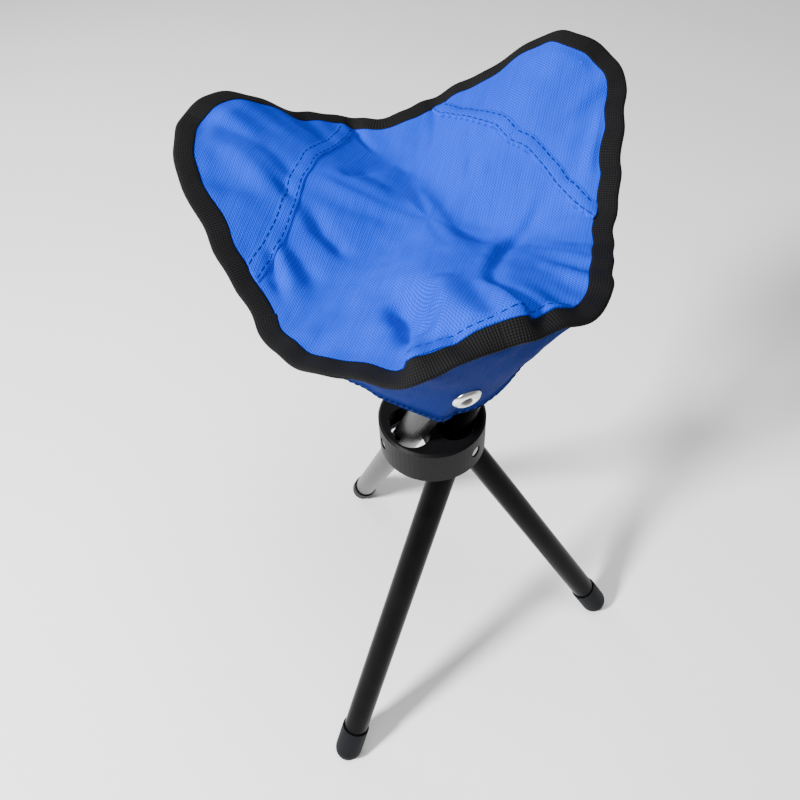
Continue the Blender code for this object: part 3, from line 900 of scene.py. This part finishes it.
def pocket_piece(n, side):
    """Half of a pocket with its double-stitched mouth, running from its leg round to the seat's rim."""
    word = side_name(side)
    pivot, pin, _, along = leg_axes(n)
    grid = pocket_grid(n, side)
    normals = grid_normals(grid, CENTRE + UP * 0.01)
    size = np.linalg.norm(np.diff(grid, axis=0), axis=-1)
    from_mouth = np.concatenate((np.cumsum(size[::-1], axis=0)[::-1], np.zeros((1, grid.shape[1]))))
    places = [Vector(p) for p in grid.reshape(-1, 3)]
    crease = np.array([noise.noise(p * 90) * 0.0007 + noise.noise(p * 210) * 0.0003 for p in places])
    crease = crease.reshape(grid.shape[:2])
    across = np.linspace(0, 1, grid.shape[1])[None, :]
    crease = crease * smooth(across, 0.3, 0.5) * smooth(1 - across, 0.0, 0.1)
    hem = POCKET_HEM * (1 - smooth(from_mouth, *POCKET_HEM_EDGE))
    grid = grid + normals * (crease + hem)[..., None]
    uvs = np.stack(((grid - pivot) @ pin, (grid - pivot) @ along), axis=-1)
    ob = cloth_sheet(f"pocket_{n}_{word}", grid, normals, POCKET_CLOTH, uvs, pocket_blue_painted_shade)
    base = pivot + along * RIVET_HEIGHT
    wing = rim_edge([CORNERS[n - 1] + side * 30.0])[0] - base
    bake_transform(ob)
    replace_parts(ob, f"pocket_wing_{n}_{word}", f"corner_pocket_{n}")
    rows = []
    for distance in POCKET_ROWS:
        points, ups = [], []
        for column in range(grid.shape[1] - 2):
            path = from_mouth[:, column][::-1]
            points.append([np.interp(distance, path, grid[::-1, column, k]) for k in range(3)])
            ups.append([np.interp(distance, path, normals[::-1, column, k]) for k in range(3)])
        ups = unit(np.array(ups))
        rows.append((np.array(points) + ups * POCKET_THREAD_RISE, ups))
    thread = stitches(f"pocket_stitches_{n}_{word}", rows, thread_blue)
    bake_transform(thread)
    return ob, thread


def rivet_piece(n):
    """A tubular rivet: a rolled ring with a sunken, split middle."""
    pivot, pin, outer, along = leg_axes(n)
    steps = 48
    verts, uvs = [(0.0, 0.0, RIVET_PROFILE[0][1])], [(0.0, 0.0)]
    faces = []
    for radius, height in RIVET_PROFILE[1:]:
        for k in range(steps):
            angle = 2 * math.pi * k / steps
            dent = 0.00012 * math.cos(6 * angle) if radius < RIVET_HOLLOW else 0.0
            verts.append((radius * math.cos(angle), radius * math.sin(angle), height + dent))
            uvs.append((radius, angle))
    for k in range(steps):
        faces.append((0, 1 + k, 1 + (k + 1) % steps))
    for ring in range(len(RIVET_PROFILE) - 2):
        for k in range(steps):
            a, b = 1 + ring * steps + k, 1 + ring * steps + (k + 1) % steps
            faces.append((a, a + steps, b + steps, b))
    last = 1 + (len(RIVET_PROFILE) - 2) * steps
    faces.append(tuple(range(last + steps - 1, last - 1, -1)))
    facing = outer * math.cos(RIVET_TILT) + along * math.sin(RIVET_TILT)
    frame_of = np.stack((pin, np.cross(facing, pin), facing), axis=1)
    place = pivot + along * RIVET_HEIGHT + outer * (POCKET_RADIUS + 0.0013)
    verts = np.array(verts) @ frame_of.T + place
    ob = outward(link(f"rivet_{n}", verts, faces, uvs, rivet_bright))
    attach(ob, f"leg_{n}")
    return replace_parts(ob, f"pocket_rivet_{n}")


for n in (1, 2, 3):
    rivet_piece(n)
    for side in (1, -1):
        cloth = seat_piece(n, side)
        tape = binding_piece(n, side)
        hem = hem_piece(n, side)
        rows = hem_stitches(n, side)
        pocket, thread = pocket_piece(n, side)


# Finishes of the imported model's own parts

FINISHES = {
    "hub": hub_black,
    "pivot_pin": pin_grey,
    "leg_tube": tube_black,
    "foot_cap": foot_black,
    "tip_plug": plug_black,
}
for name, node in frame["nodes"].items():
    stem = name if name == "hub" else name.rsplit("_", 1)[0]
    if stem in FINISHES:
        for slot in node.material_slots:
            slot.material = FINISHES[stem]


# Floor, light and camera


def floor():
    size = 4.0
    made, tree, shader = node_material("studio_floor", 0.9, specular=0.1)
    place = tree.nodes.new("ShaderNodeTexCoord").outputs["Object"]
    tone = ramp(tree, speckle(tree, place, 3.0), (0.3, (0.89, 0.89, 0.89)), (0.7, (0.92, 0.92, 0.92)))
    tree.links.new(tone, shader.inputs["Base Color"])
    corners = [(-size, -size, 0), (size, -size, 0), (size, size, 0), (-size, size, 0)]
    ob = link("studio_floor", corners, [(0, 1, 2, 3)], [(0, 0), (1, 0), (1, 1), (0, 1)], made)


def lamp(name, place, aim, size, power):
    data = bpy.data.lights.new(name, "AREA")
    data.shape = "DISK"
    data.size = size
    data.energy = power
    ob = bpy.data.objects.new(name, data)
    bpy.context.scene.collection.objects.link(ob)
    ob.location = place
    ob.rotation_euler = (Vector(aim) - Vector(place)).to_track_quat("-Z", "Y").to_euler()


def camera():
    """The photograph's view: the camera looks at a point from a distance, turned by three angles."""
    target, distance = Vector((0.0015, 0.0337, 0.2110)), 0.4139
    azimuth, elevation, roll = (math.radians(x) for x in (-11.97, 46.82, -1.89))
    level = math.cos(elevation)
    back = Vector((math.sin(azimuth) * level, -math.cos(azimuth) * level, math.sin(elevation)))
    right = Vector((0, 0, 1)).cross(back).normalized()
    up = back.cross(right)
    turned_right = right * math.cos(roll) + up * math.sin(roll)
    turned_up = up * math.cos(roll) - right * math.sin(roll)
    data = bpy.data.cameras.new("camera")
    data.lens = 35.84
    data.sensor_width = 36.0
    data.shift_x = -0.024
    data.shift_y = -0.0493
    data.clip_start = 0.01
    data.clip_end = 20.0
    ob = bpy.data.objects.new("camera", data)
    bpy.context.scene.collection.objects.link(ob)
    turn = Matrix((turned_right, turned_up, back)).transposed().to_4x4()
    ob.matrix_world = Matrix.Translation(target + back * distance) @ turn
    bpy.context.scene.camera = ob


floor()
lamp("key", (-0.9, -0.35, 0.95), (0, 0, 0.33), 0.22, 46.0)
lamp("top", (0.1, -0.2, 1.45), (0, 0, 0.3), 0.6, 10.0)
lamp("back", (-0.5, 0.9, 0.8), (0, 0, 0.3), 0.6, 5.0)
world = bpy.data.worlds.new("studio")
world.use_nodes = True
world.node_tree.nodes["Background"].inputs[0].default_value = (1.0, 1.0, 1.0, 1.0)
world.node_tree.nodes["Background"].inputs[1].default_value = 0.33
bpy.context.scene.world = world
camera()
